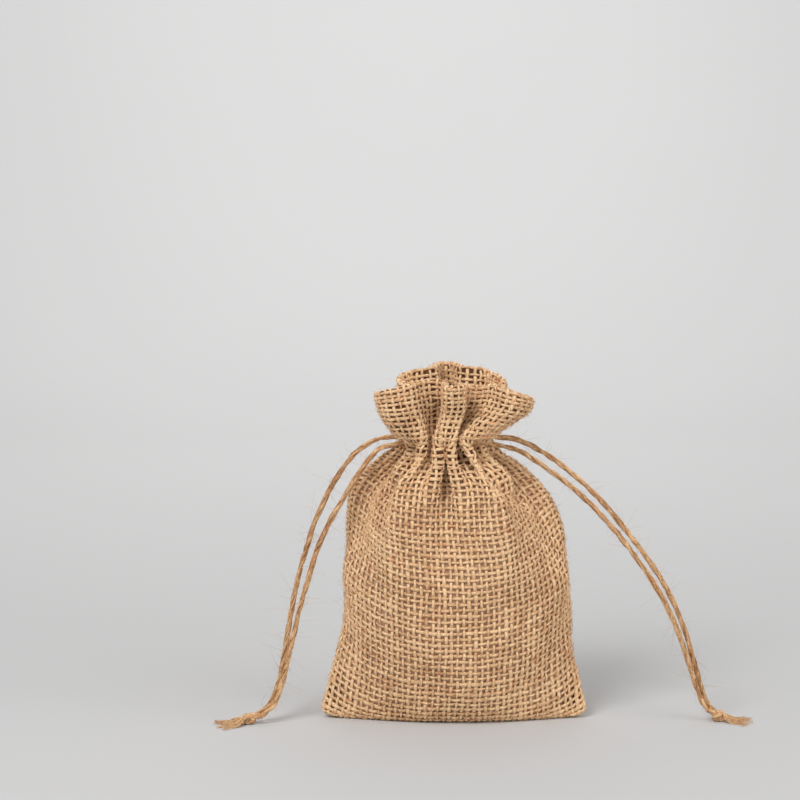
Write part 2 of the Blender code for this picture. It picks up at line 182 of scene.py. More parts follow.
# Yarns: steps from one crossing to the next, sides, how they drift, swell, differ in width and change tone.
CROSSING_STEPS = 4
YARN_SIDES = 6
WARP_DRIFT = Waver(12.0, 0.28)
WEFT_DRIFT = Waver(13.0, 0.26)
WEFT_CLOSING = 16  # last steps of a weft, over which it comes back to where it began
YARN_WIDTHS = (0.82, 1.2)
YARN_SLUBS = Waver(7.0, 0.24)
YARN_FIRM = 0.6  # share of a yarn's thickness that its slubs leave alone
YARN_TONES = (-0.2, 0.2)
YARN_PATCHES = Waver(9.0, 0.3)
WARP_TONE, WEFT_TONE = 0.12, -0.14

# Ties: the twine's thickness, how its plies' lay, tones and thickness waver, and each strand's points from
# the neck to its knot, which lies on the surface. A strand starts a little inside the neck.
TWINE = 2.0
PLY_SIDES = 8
PLY_STARTS = (0, 6)  # radians at which the first ply may start
PLY_LAY, PLY_TONES, PLY_SLUBS = Waver(21.0, 1.3), Waver(9.0, 0.45), Waver(6.0, 0.2)
STRANDS = {
    "cord_left_rear": [
        (-20.5, 0.5, 102.6), (-28.0, 0.0, 101.6), (-35.8, -0.8, 96.6),
        (-43.2, -2.2, 86.8), (-49.2, -3.6, 74.6), (-53.4, -5.0, 62.6),
        (-56.6, -6.4, 51.0), (-59.0, -7.6, 39.0), (-61.0, -8.6, 27.0),
        (-63.0, -9.6, 16.0), (-66.0, -10.6, 7.6), (-70.6, -11.8, 3.4),
    ],
    "cord_left_front": [
        (-21.4, -1.9, 100.2), (-27.2, -2.2, 98.4), (-33.4, -3.2, 91.4),
        (-39.4, -5.0, 82.0), (-45.0, -6.4, 72.4), (-49.6, -7.8, 62.0),
        (-53.0, -9.2, 50.6), (-56.4, -10.2, 38.6), (-59.2, -11.2, 26.6),
        (-61.8, -12.2, 15.6), (-65.0, -13.2, 7.2), (-70.0, -14.4, 2.6),
    ],
    "cord_right_rear": [
        (14.0, 0.8, 102.4), (22.8, 0.8, 101.4), (32.6, 0.4, 96.4),
        (43.6, -0.4, 88.4), (54.8, -1.4, 77.4), (66.2, -2.6, 63.4),
        (75.8, -4.0, 49.4), (82.6, -5.2, 35.0), (87.0, -6.4, 20.6),
        (90.6, -7.4, 8.6), (92.8, -7.8, 4.6),
    ],
    "cord_right_front": [
        (15.2, -1.6, 99.8), (22.6, -1.8, 98.0), (31.0, -2.6, 93.0),
        (41.8, -3.6, 85.2), (53.0, -4.4, 74.6), (64.2, -5.4, 61.0),
        (73.6, -6.6, 47.4), (80.4, -7.8, 33.6), (85.2, -8.8, 19.8),
        (89.2, -9.8, 8.0), (91.8, -10.2, 4.0),
    ],
}
ROUTE_STEP = 0.45
INTO_NECK = 4.0
ASIDE = (0.3, 1.0, 0.2)  # a direction in which no twine starts

# Knots: the middle of each one, and the heading in which its tail lies, in degrees from +X. Each has two
# loops, the inner one smaller and lower. A tail has two ends, which part and fall to the surface as they go.
Knot = namedtuple("Knot", "middle heading")
KNOTS = {"left": Knot((-74.0, -13.8, 1.7), 197.0), "right": Knot((95.4, -9.8, 1.7), -12.0)}
KNOT_LOOP = 0.66
KNOT_RISE = 1.0
KNOT_STEPS = 120
LOOP_LIFT, INNER_LIFT, INNER_SCALE = 0.3, 0.1, 0.8
TAIL_LENGTH = 4.4
TAIL_BEND = 2.4
TAIL_PARTING, TAIL_SPREAD = 0.75, 1.5
TAIL_FALL = 0.4

# Fibres of a frayed tail: how many, their steps and sides, the fan that they fill and the parting at its
# middle, in degrees, their lengths and radii, and how they stray, bow, pile up and settle on the surface.
FIBRES = 130
FIBRE_STEPS = 9
FIBRE_SIDES = 4
FIBRE_SPREAD = 40.0
FIBRE_PARTING = 9.0
FIBRE_LENGTHS = (5.6, 11.0)
FIBRE_RADII = (0.06, 0.13)
FIBRE_TAPER = (1.1, 0.5)  # thickness at the root and the tip, as shares of the radius
FIBRE_STRAY = 6.0  # degrees off the fan
FIBRE_ROOTS = (-0.7, 1.0)  # below and above the tail's middle
FIBRE_BOW, FIBRE_WAVE = 0.14, 4.2
FIBRE_PILE = 0.35  # how high the fibres lie on each other
FIBRE_SETTLED = 0.62  # share of a fibre's length at which it has come down to the surface
FIBRE_TONES = (-0.2, 0.8)

# Loose fibre: how many hairs there are, their lengths and radii, steps, and how far they lean out.
Hair = namedtuple("Hair", "count lengths radii steps lean")
CLOTH_FUZZ = Hair(4600, (0.8, 3.8), (0.024, 0.05), 4, 0.7)
CLOTH_NAP = Hair(6400, (0.9, 2.6), (0.045, 0.08), 3, 0.1)
STRAND_FUZZ = Hair(190, (1.6, 7.5), (0.03, 0.06), 6, 0.55)
STRAND_BARE = 8  # places of the route inside the neck, which have no hairs
STRAND_ROOTS = 0.35  # how far out the hairs start, as a share of the twine
FUZZ_OFF, NAP_OFF = 0.5, 0.78  # from the cloth's middle to the roots
FUZZ_FROM, FUZZ_PAST = 4.0, 2.0  # up the cloth where hairs start, and how far past the hem's top they go
LYING = 0.5  # hairs that lean less than this lie along the surface
HAIR_SIDES = 3
HAIR_SHARES = (0.5, 1.0)  # of that length
HAIR_STRAY, HAIR_CURL = 0.75, 0.6
HAIR_TIP = 0.45  # thickness at the tip, as a share of that at the root
HAIR_TONES = (-0.4, 0.9)

# Bundles of fibre that lie along a strand: how many, the steps of each and the places of the route that a
# step crosses, its radii, how far out it lies in radii of the twine, and how far it turns in a step.
BUNDLES = 64
BUNDLE_STEPS = 22
BUNDLE_STRIDE = 2
BUNDLE_BARE = 4  # places of the route before the first bundle
BUNDLE_TAPER = (0.3, 2.84)  # part of a sine, in radians, that a bundle's thickness follows
BUNDLE_RADII = (0.09, 0.24)
BUNDLE_OUT, BUNDLE_WAVERS = 0.82, Waver(6.0, 0.16)
BUNDLE_TURNS = (0.06, 0.3)
BUNDLE_TONES = (-0.7, 0.8)

# Fibre on a yarn: noise cells to a millimetre along it and across it, and how strongly the streaks, the
# patches, the yarn's own tone and a base share make it pale.
FIBRE_CELLS = (0.5, 2.8)
PALE_BASE = 0.42
STREAKS, PATCHES, OWN_TONE = 3.0, 0.7, 0.55
PATCH_SCALE = 60.0
FIBRE_BUMP = (0.5, 0.00018)
YARN_SHIFT = 7.3  # millimetres round from one yarn's fibres to the next one's

# Flecks of rusty bark in the fibre: how many to a metre, the noise from which they show, how sharply, how
# strongly, and their colour.
FLECK_SCALE = 340.0
FLECK_START = 0.6
FLECK_EDGE = 8.0
FLECK_STRENGTH = 0.55
FLECK = (0.56, 0.20, 0.06)

# Grain of the ground: cells to a metre, how strongly it mixes the two colours, and its relief.
GRAIN_SCALE = 900.0
GRAIN_MIX = 0.5
GRAIN_BUMP = (0.3, 0.0001)

# Camera: where it looks, the width that it sees there and its sensor, in metres and millimetres.
VIEW_TARGET = Vector((-0.0196, -0.006, 0.1168))
VIEW_WIDTH = 0.2857
SENSOR = 36.0

# Lights, in metres: the place and size of each one, and what it points at.
Light = namedtuple("Light", "place size target")
LIGHTS = {
    "key": Light((-0.35, -0.5, 0.7), 0.4, VIEW_TARGET),
    "fill": Light((0.5, -0.3, 0.3), 0.5, VIEW_TARGET),
    "wall": Light((0.0, 0.6, 0.9), 0.8, Vector((0, 1.3, 0.25))),
}
SKY = (0.8, 0.8, 0.8, 1)

# Backdrop, in metres: its half width, where it starts in front, how many rows it has, where they start and
# how far apart they are, where its floor ends, and the radius on which it turns up. Then its faint patches:
# how many to a metre, how strongly they show, and their share of the floor's brightness.
PAPER_HALF_WIDTH, PAPER_NEAR = 6.0, 9.0
PAPER_ROWS, PAPER_START, PAPER_STEP = 81, -1.5, 0.05
PAPER_FLAT, PAPER_BEND = 0.7, 0.5
PAPER_PATCHES, PAPER_MIX, PAPER_SHADE = 6.0, 0.5, 0.97

SEED = 4107


def fold_wave(along, folds, slits=0.0):
    """How the cloth turns along a row of folds: out after each valley and back in after each crest."""
    wave = np.zeros(len(along))
    for i, fold in enumerate(folds):
        width = (folds[(i + 1) % len(folds)].valley - fold.valley) % GIRTH
        into = (along - fold.valley) % GIRTH
        inside = into < width
        share = into[inside] / width
        turn = np.sin(2 * math.pi * share) * np.abs(np.cos(math.pi * share)) ** slits
        wave[inside] = fold.strength * turn / turn.max(initial=TINY)
    return wave


def half_outline(level, side):
    """Points of the unfolded outline's front (side -1) or rear (side 1), from one seam to the other."""
    turn = np.linspace(0, math.pi, OUTLINE_STEPS + 1)
    wide = (level.left + level.right) / 2
    depth = (level.front + level.back) / 2
    pinch = min(PINCH, depth)
    from_end = wide * (1 - np.abs(np.cos(turn))) / max(pinch, TINY)
    rounding = np.sqrt(1 - (1 - np.clip(from_end, 0, 1)) ** 2)
    out = (depth - pinch) * np.sin(turn) ** (2 * level.tip) + pinch * rounding
    return np.column_stack([side * wide * np.cos(turn), side * out])


def steepness(wave, share):
    """How steeply the folds turn when they shorten the cloth to a share of its length."""
    low, high = 0.0, STEEPEST
    for _ in range(HALVINGS):
        middle = (low + high) / 2
        if np.cos(middle * wave).mean() > share:
            low = middle
        else:
            high = middle
    return low


def folded_along(base, wave):
    """The path of cloth that follows an unfolded outline and turns with the wave as it goes."""
    edges = np.diff(base, axis=0)
    lengths = np.hypot(edges[:, 0], edges[:, 1])
    headings = np.unwrap(np.arctan2(edges[:, 1], edges[:, 0]))
    steep = steepness(wave, lengths.sum() / GIRTH)
    run = np.concatenate([[0], np.cumsum(np.cos(steep * wave))])
    seam = GIRTH_STEPS // 2
    front, rear = lengths[:OUTLINE_STEPS].sum(), lengths[OUTLINE_STEPS:].sum()
    on_front = run[: seam + 1] / run[seam] * front
    on_rear = front + (run[seam + 1 :] - run[seam]) / (run[-1] - run[seam]) * rear
    travelled = np.concatenate([on_front, on_rear])
    middles = np.cumsum(lengths) - lengths / 2
    heading = np.interp((travelled[1:] + travelled[:-1]) / 2, middles, headings) - steep * wave
    steps = np.column_stack([np.cos(heading), np.sin(heading)]) * GIRTH / GIRTH_STEPS
    path = np.vstack([[0, 0], np.cumsum(steps, axis=0)])
    return path - path[-1] * np.linspace(0, 1, GIRTH_STEPS + 1)[:, None]


def folded_outline(level):
    """The (x, y) of the folded cloth at one level, at even steps along the girth from the left seam."""
    along = (np.arange(GIRTH_STEPS) + 0.5) * GIRTH / GIRTH_STEPS
    wave = (
        level.gather * fold_wave(along, GATHERS)
        + level.lobes * fold_wave(along, LOBES, LOBE_SLITS)
        + level.body * fold_wave(along, BODY_FOLDS)
    )
    wave /= max(np.abs(wave).max(), TINY)
    reach = np.array([level.left + level.right, level.front + level.back])
    share = np.ones(2)
    for _ in range(FITTING_ROUNDS):
        front = half_outline(level, -1) * share
        rear = half_outline(level, 1) * share
        path = folded_along(np.vstack([front, rear[1:]]), wave)
        spans = np.ptp(path, axis=0)
        share *= np.clip(reach / spans, *FITTING_LIMITS)
    return (path - path.min(axis=0)) * reach / spans - (level.left, level.front)


def cloth_heights(level, along):
    """Heights of the cloth's middle at one level, which change from the panels' middles to the seams."""
    half = GIRTH / 2
    to_seam = np.abs((along % half) - half / 2) / (half / 2)
    middle = np.where(along < half, level.up_front, level.up_back)
    seam = np.where((along < half / 2) | (along > GIRTH - half / 2), level.up_left, level.up_right)
    up_frill = np.clip((level.cloth - SAG_START) / (LEVELS[-1].cloth - SAG_START), 0, 1) ** 2
    hang = up_frill * sum(sag.deep * np.exp(-(((along - sag.along) / sag.wide) ** 2)) for sag in SAGS)
    return CLOTH / 2 + middle + (seam - middle) * to_seam**level.dip - hang


def bottom_row(level, along):
    """Points of the bottom fold: a straight line under the sack, there along the front and back."""
    there_and_back = 1 - np.abs(1 - along / GIRTH * 2)
    x = -level.left + (level.left + level.right) * there_and_back
    return np.column_stack([x, np.full(len(along), -level.front), cloth_heights(level, along)])


def through_rows(rows, at):
    """Points at any levels of the cloth, on smooth curves through the table's rows of points."""
    levels = np.array([level.cloth for level in LEVELS])
    slopes = np.gradient(rows, levels, axis=0)
    i = np.clip(np.searchsorted(levels, at, side="right") - 1, 0, len(levels) - 2)
    step = (levels[i + 1] - levels[i])[:, None, None]
    u = (at - levels[i])[:, None, None] / step
    start = rows[i] * (1 + 2 * u) * (1 - u) ** 2 + slopes[i] * step * u * (1 - u) ** 2
    end = rows[i + 1] * u**2 * (3 - 2 * u) - slopes[i + 1] * step * u**2 * (1 - u)
    return start + end


def eased(value, low, high):
    """0 below low, 1 above high, and a smooth change between them."""
    u = np.clip((value - low) / (high - low), 0, 1)
    return u * u * (3 - 2 * u)


def unit(vectors):
    """The same directions with a length of 1."""
    return vectors / np.maximum(np.linalg.norm(vectors, axis=-1, keepdims=True), TINY)


def distances(points):
    """How far along its line each point lies."""
    steps = np.diff(points, axis=-2, prepend=points[..., :1, :])
    return np.linalg.norm(steps, axis=-1).cumsum(axis=-1)


def creased(along, up):
    """How far the creases draw the cloth in."""
    drawn = np.zeros(along.shape)
    for crease in CREASES:
        run = np.array([crease.along_end - crease.along, crease.up_end - crease.up])
        x, y = along - crease.along, up - crease.up
        share = np.clip((x * run[0] + y * run[1]) / (run @ run), 0, 1)
        aside = np.hypot(x - share * run[0], y - share * run[1])
        drawn += crease.deep * np.exp(-((aside / crease.wide) ** 2))
    return drawn


class Cloth:
    """The sack's surface, which gives a point and an outward normal for any place on the cloth."""

    def __init__(self):
        self.along = np.linspace(0, GIRTH, GIRTH_STEPS + 1)
        self.up = np.arange(0, HEIGHT + HEIGHT_STEP / 2, HEIGHT_STEP)
        bottom, *above = LEVELS
        rows = [bottom_row(bottom, self.along)] + [self.row(level) for level in above]
        self.points = through_rows(np.array(rows), self.up)
        self.normals = self.facing()
        self.points += self.normals * self.relief()[:, :, None]
        self.normals = self.facing()
        self.points = np.vstack([self.points[: round(HEM_TOP / HEIGHT_STEP) + 1], self.turned_in()])
        self.normals = self.facing()
        self.top = (len(self.points) - 1) * HEIGHT_STEP

    def row(self, level):
        """Points of the cloth's middle at one level above the bottom fold."""
        return np.column_stack([folded_outline(level), cloth_heights(level, self.along)])

    def facing(self):
        """Outward normals, from the cloth's run round the sack and up it."""
        ring = self.points[:, :-1]
        round_sack = np.roll(ring, -2, axis=1) - np.roll(ring, 2, axis=1)
        up_sack = np.gradient(ring, axis=0)
        normal = unit(np.cross(round_sack, up_sack))
        return np.concatenate([normal, normal[:, :1]], axis=1)

    def relief(self):
        """How far the dents and the tie's channel move the cloth out."""
        along, up = np.meshgrid(self.along, self.up)
        dents = np.zeros(along.shape)
        for dent in DENTS:
            turns = dent.round * along / GIRTH + up / dent.tall
            dents += dent.deep * np.sin(2 * math.pi * turns + dent.start)
        low, high = CHANNEL
        into = np.clip((up - low) / (high - low), 0, 1)
        swell = CHANNEL_SWELL * np.sin(math.pi * into) ** 2
        return dents * eased(up, DENTS_START, DENTS_FULL) + swell - creased(along, up)

    def turned_in(self):
        """Rows of the hem's edge, where the cloth turns over and comes down inside the frill."""
        top = round(HEM_TOP / HEIGHT_STEP)
        ahead = unit(self.points[top] - self.points[top - 1])
        rows = []
        for past in np.arange(HEIGHT_STEP, math.pi * HEM_RADIUS + HEM_INSIDE, HEIGHT_STEP):
            turn = min(past / HEM_RADIUS, math.pi)
            down = top - max(past - math.pi * HEM_RADIUS, 0) / HEIGHT_STEP
            i = min(int(down), top - 1)
            u = down - i
            base = self.points[i] * (1 - u) + self.points[i + 1] * u
            outward = self.normals[i] * (1 - u) + self.normals[i + 1] * u
            rows.append(base + (ahead * math.sin(turn) - outward * (1 - math.cos(turn))) * HEM_RADIUS)
        return np.array(rows)

    def at(self, along, up):
        """Points and normals at places on the cloth, given round the girth and up from the bottom fold."""
        column = (along % GIRTH) / GIRTH * GIRTH_STEPS
        row = np.clip(up / HEIGHT_STEP, 0, len(self.points) - 1 - TINY)
        i, j = np.floor(row).astype(int), np.floor(column).astype(int) % GIRTH_STEPS
        u, v = (row - i)[..., None], (column - np.floor(column))[..., None]
        both = np.concatenate([self.points, self.normals], axis=2)
        low = both[i, j] * (1 - v) + both[i, j + 1] * v
        high = both[i + 1, j] * (1 - v) + both[i + 1, j + 1] * v
        return np.split(low * (1 - u) + high * u, 2, axis=-1)


def wander(rng, count, steps, waver):
    """Smooth random values along several lines at once: one value to a spacing, eased between."""
    values = rng.uniform(-waver.reach, waver.reach, (count, int(steps / waver.spacing) + 3))
    place = np.arange(steps) / waver.spacing
    i = place.astype(int)
    u = eased(place - i, 0, 1)
    return values[:, i] * (1 - u) + values[:, i + 1] * u


def differing(rng, low_high, steps):
    """A random value for each of several lines, the same at all of a line's steps."""
    lines, length = steps
    return np.repeat(rng.uniform(*low_high, (lines, 1)), length, axis=1)


def placed(name, data):
    """An object in the scene that holds a mesh, a lamp or a camera and names it."""
    data.name = name
    thing = bpy.data.objects.new(name, data)
    bpy.context.scene.collection.objects.link(thing)
    return thing


def aimed(name, data, place, target):
    """A lamp or a camera at a place, which points at a target."""
    thing = placed(name, data)
    thing.location = place
    thing.rotation_euler = (target - thing.location).to_track_quat("-Z", "Y").to_euler()
    return thing


def add_piece(name, mesh, finish, nodes=()):
    """An object of the sack, with its finish, on the sack's body, standing for the named nodes."""
    piece = placed(name, mesh)
    mesh.materials.append(finish)
    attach(piece, "root")
    if nodes:
        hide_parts(*nodes)
    return piece


@contextmanager
def opened(mesh):
    """Opens a mesh for bmesh operators and puts what they make back in it."""
    shape = bmesh.new()
    shape.from_mesh(mesh)
    yield shape
    shape.to_mesh(mesh)
    shape.free()


def grid_mesh(wide, tall):
    """A flat grid of wide x tall vertices, and the column and row of each of them."""
    mesh = bpy.data.meshes.new("Mesh")
    with opened(mesh) as grid:
        bmesh.ops.create_grid(grid, x_segments=wide - 1, y_segments=tall - 1, size=1.0)
    if len(mesh.vertices) != wide * tall:
        raise RuntimeError(f"A grid has {len(mesh.vertices)} vertices, not {wide * tall}")
    places = np.zeros(len(mesh.vertices) * 3, np.float32)
    mesh.vertices.foreach_get("co", places)
    places = places.reshape(-1, 3)
    column = np.rint((places[:, 0] + 1) / 2 * (wide - 1)).astype(int)
    row = np.rint((places[:, 1] + 1) / 2 * (tall - 1)).astype(int)
    return mesh, column, row


def set_uv(mesh, name, pairs):
    """A UV map from one pair of values for each vertex."""
    corners = np.zeros(len(mesh.loops), np.int32)
    mesh.loops.foreach_get("vertex_index", corners)
    layer = mesh.uv_layers.new(name=name)
    layer.uv.foreach_set("vector", pairs[corners].astype(np.float32).ravel())


def set_values(mesh, name, values):
    """A number for each vertex, which a material can read."""
    mesh.attributes.new(name, "FLOAT", "POINT").data.foreach_set("value", values.astype(np.float32))


def close_up(mesh, sides=0):
    """Merges seams, closes holes with up to that many sides, and turns the faces out."""
    with opened(mesh) as shape:
        bmesh.ops.remove_doubles(shape, verts=shape.verts, dist=MERGE)
        if sides:
            bmesh.ops.holes_fill(shape, edges=[edge for edge in shape.edges if edge.is_boundary], sides=sides)
        bmesh.ops.recalc_face_normals(shape, faces=shape.faces)
    mesh.shade_smooth()


def swept(points, normals, half_wide, half_thick, sides, tone):
    """Closed tubes of oval section along rows of points: points and normals are (count, steps, 3)."""
    count, steps = points.shape[:2]
    around = sides + 1
    mesh, column, row = grid_mesh(steps, count * around)
    ahead = np.gradient(points, axis=1)
    if np.allclose(points[:, 0], points[:, -1]):
        ahead[:, 0] = ahead[:, -1] = points[:, 1] - points[:, -2]
    ahead = unit(ahead)
    across = unit(np.cross(ahead, normals))
    outward = np.cross(across, ahead)
    line, side = row // around, row % around
    turn = 2 * math.pi * side / sides - math.pi / 2
    place = points[line, column]
    place = place + across[line, column] * (np.cos(turn) * half_wide[line, column])[:, None]
    place = place + outward[line, column] * (np.sin(turn) * half_thick[line, column])[:, None]
    place[:, 2] = np.maximum(place[:, 2], 0.0)
    mesh.vertices.foreach_set("co", (place * MM).astype(np.float32).ravel())
    travelled = distances(points)
    girdle = math.pi * (half_wide + half_thick)
    pairs = [travelled[line, column], side / sides * girdle[line, column] + line * YARN_SHIFT]
    set_uv(mesh, "Yarn", np.column_stack(pairs))
    # Painted light: the crown shading runs from 1 on a tube's outer side to -1 on its underside, for a
    # painted highlight and painted shade.
    set_values(mesh, "crown", np.sin(turn))
    set_values(mesh, "tone", tone[line, column])
    with opened(mesh) as tubes:
        between = [face for face in tubes.faces if len({line[corner.index] for corner in face.verts}) > 1]
        bmesh.ops.delete(tubes, geom=between, context="FACES_ONLY")
        bmesh.ops.delete(tubes, geom=[edge for edge in tubes.edges if not edge.link_faces], context="EDGES")
    close_up(mesh, sides)
    return mesh


class Number:
    """A number in a material's nodes, so that sums on it read as plain expressions."""

    def __init__(self, finish, socket):
        self.finish, self.socket = finish, socket

    def sum(self, operation, other):
        node = self.finish.node("ShaderNodeMath", {"operation": operation}, {0: self, 1: other})
        return Number(self.finish, node.outputs[0])

    __add__ = __radd__ = partialmethod(sum, "ADD")
    __mul__ = __rmul__ = partialmethod(sum, "MULTIPLY")
    __sub__ = partialmethod(sum, "SUBTRACT")

    def clamped(self):
        return self.sum("MAXIMUM", 0.0).sum("MINIMUM", 1.0)


class Finish:
    """A material made of nodes, ending in one shader."""

    def __init__(self, name, roughness, sheen=0.0):
        self.material = bpy.data.materials.new(name)
        self.material.use_nodes = True
        self.tree = self.material.node_tree
        self.shader = self.tree.nodes["Principled BSDF"]
        self.shader.inputs["Roughness"].default_value = roughness
        self.shader.inputs["Specular IOR Level"].default_value = 0.2
        self.shader.inputs["Sheen Weight"].default_value = sheen

    def node(self, kind, settings=None, values=None):
        made = self.tree.nodes.new(kind)
        for name, setting in (settings or {}).items():
            setattr(made, name, setting)
        for name, value in (values or {}).items():
            socket = value.socket if isinstance(value, Number) else value
            if isinstance(socket, bpy.types.NodeSocket):
                self.tree.links.new(socket, made.inputs[name])
            else:
                made.inputs[name].default_value = socket
        return made

    def number(self, node, output=0):
        return Number(self, node.outputs[output])

    def attribute(self, name):
        node = self.node("ShaderNodeAttribute", {"attribute_name": name, "attribute_type": "GEOMETRY"})
        return self.number(node, "Fac")

    def noise(self, vector, scale, detail):
        values = {"Vector": vector, "Scale": scale, "Detail": detail, "Roughness": 0.6}
        return self.number(self.node("ShaderNodeTexNoise", {"noise_dimensions": "3D"}, values), "Fac")

    def mottle(self, scale):
        return self.noise(self.node("ShaderNodeTexCoord").outputs["Object"], scale, detail=2.0)

    def mixed(self, share, first, second):
        values = {"Factor": share, 6: first, 7: second}
        return self.node("ShaderNodeMix", {"data_type": "RGBA"}, values).outputs[2]

    def colour(self, socket):
        self.tree.links.new(socket, self.shader.inputs["Base Color"])

    def relief(self, height, strength, distance):
        values = {"Height": height, "Strength": strength, "Distance": distance}
        bump = self.node("ShaderNodeBump", None, values)
        self.tree.links.new(bump.outputs[0], self.shader.inputs["Normal"])


def fibre_finish(name, pale, dark, twist, crown_shading_share):
    """Spun jute: fibres that wind round the yarn, with a painted highlight on its crown and painted shade
    down its flanks.
    """
    finish = Finish(name, roughness=0.9, sheen=0.08)
    place = finish.node("ShaderNodeUVMap", {"uv_map": "Yarn"}).outputs[0]
    pair = finish.node("ShaderNodeSeparateXYZ", None, {0: place})
    along, around = finish.number(pair, 0), finish.number(pair, 1)
    lean = math.radians(twist)
    with_fibre = along * math.cos(lean) + around * math.sin(lean)
    over_fibre = around * math.cos(lean) - along * math.sin(lean)
    cells = {0: with_fibre * FIBRE_CELLS[0], 1: over_fibre * FIBRE_CELLS[1]}
    streak = finish.noise(finish.node("ShaderNodeCombineXYZ", None, cells).outputs[0], scale=1.0, detail=4.0)
    patch = finish.mottle(PATCH_SCALE)
    share = PALE_BASE + (streak - 0.5) * STREAKS + (patch - 0.5) * PATCHES
    share = share + finish.attribute("tone") * OWN_TONE
    # Painted light: the crown shading makes the yarn paler on its outer side, a painted highlight, and darker
    # down its flanks and underside, painted shade.
    share = (share + finish.attribute("crown") * crown_shading_share).clamped()
    spun = finish.mixed(share, (*dark, 1.0), (*pale, 1.0))
    fleck = ((finish.mottle(FLECK_SCALE) - FLECK_START) * FLECK_EDGE).clamped()
    finish.colour(finish.mixed(fleck * FLECK_STRENGTH, spun, (*FLECK, 1.0)))
    finish.relief(streak, *FIBRE_BUMP)
    return finish.material


def ground_finish(name, belly, frill):
    """What shows through the weave: the cloth's shaded inside, with browner, darker painted shade where the
    cloth gathers at the neck and frill.
    """
    finish = Finish(name, roughness=0.95)
    grain = finish.mottle(GRAIN_SCALE)
    # Painted shade: the mask blends towards the near-black frill colour in the neck and frill and at the
    # bottom corners.
    share = (finish.attribute("gathered") + (grain - 0.5) * GRAIN_MIX).clamped()
    finish.colour(finish.mixed(share, (*belly, 1.0), (*frill, 1.0)))
    finish.relief(grain, *GRAIN_BUMP)
    return finish.material


def smooth_route(points, spacing):
    """Places on a smooth curve through a route's points, at most a spacing apart."""
    route = np.array(points, float)
    route = np.vstack([2 * route[0] - route[1], route, 2 * route[-1] - route[-2]])
    places = []
    for before, start, end, after in zip(route, route[1:], route[2:], route[3:]):
        steps = max(1, math.ceil(np.linalg.norm(end - start) / spacing))
        for u in np.arange(steps) / steps:
            square = 2 * before - 5 * start + 4 * end - after
            cube = 3 * (start - end) + after - before
            places.append(start + 0.5 * ((end - before) * u + square * u**2 + cube * u**3))
    return np.array(places + [route[-2]])


def carried_frames(route):
    """Two directions square to a route at each of its places, carried along it without a twist."""
    ahead = unit(np.gradient(route, axis=0))
    first = [unit(np.cross(ahead[0], ASIDE))]
    for direction in ahead[1:]:
        first.append(unit(first[-1] - direction * (first[-1] @ direction)))
    first = np.array(first)
    return first, np.cross(ahead, first)


def plies_along(route, settings, rng, start):
    """The middles, normals and tones of a twine's two plies, wound round each other along a route."""
    first, second = carried_frames(route)
    travelled = distances(route)
    offset, lay = settings.ply_offset / MM, settings.lay / MM
    unevenness = wander(rng, 1, len(route), PLY_LAY)[0]
    middles, normals = [], []
    for ply in (0.0, math.pi):
        turn = (start + ply + 2 * math.pi * travelled / lay + unevenness)[:, None]
        out = first * np.cos(turn) + second * np.sin(turn)
        middles.append(route + out * offset)
        normals.append(out)
    return np.array(middles), np.array(normals), wander(rng, 2, len(route), PLY_TONES)


def twine_mesh(routes, settings, rng):
    """One mesh of two-ply twines along routes that all have the same number of places."""
    laid = [plies_along(route, settings, rng, rng.uniform(*PLY_STARTS)) for route in routes]
    points, normals, tones = (np.concatenate([part[i] for part in laid]) for i in range(3))
    thick = settings.ply_width / MM / 2 * (1 + wander(rng, len(points), points.shape[1], PLY_SLUBS))
    return swept(points, normals, thick, thick, PLY_SIDES, tones)


def join_meshes(meshes):
    """One mesh that holds several."""
    joined = bpy.data.meshes.new("Mesh")
    with opened(joined) as whole:
        for mesh in meshes:
            whole.from_mesh(mesh)
            bpy.data.meshes.remove(mesh)
    joined.shade_smooth()
    return joined


def hairs(roots, outward, hair, rng):
    """Fine fibres that lean out of their roots and curl over."""
    count = len(roots)
    length = rng.uniform(*hair.lengths, count) * rng.uniform(*HAIR_SHARES, count)
    lean, curl = rng.normal(0, HAIR_STRAY, (count, 3)), rng.normal(0, HAIR_CURL, (count, 3))
    if hair.lean < LYING:
        lean -= outward * (lean * outward).sum(axis=1, keepdims=True)
        curl -= outward * (curl * outward).sum(axis=1, keepdims=True)
    start = unit(outward * hair.lean + lean)
    share = np.linspace(0, 1, hair.steps)[None, :, None]
    points = roots[:, None] + (start[:, None] * share + curl[:, None] * share**2) * length[:, None, None]
    normals = np.repeat(unit(np.cross(start, curl))[:, None], hair.steps, axis=1)
    radius = rng.uniform(*hair.radii, (count, 1)) * np.linspace(1, HAIR_TIP, hair.steps)[None]
    tone = differing(rng, HAIR_TONES, (count, hair.steps))
    return swept(points, normals, radius, radius, HAIR_SIDES, tone)


def length_setting(name, description, default):
    """A length that the user can change, in metres."""
    return bpy.props.FloatProperty(name=name, description=description, default=default, unit="LENGTH")


def colour_setting(name, description, default):
    """A colour that the user can change."""
    return bpy.props.FloatVectorProperty(name=name, description=description, default=default, subtype="COLOR")


def strength_setting(name, description, default):
    """The power or strength of a light that the user can change."""
    return bpy.props.FloatProperty(name=name, description=description, default=default)


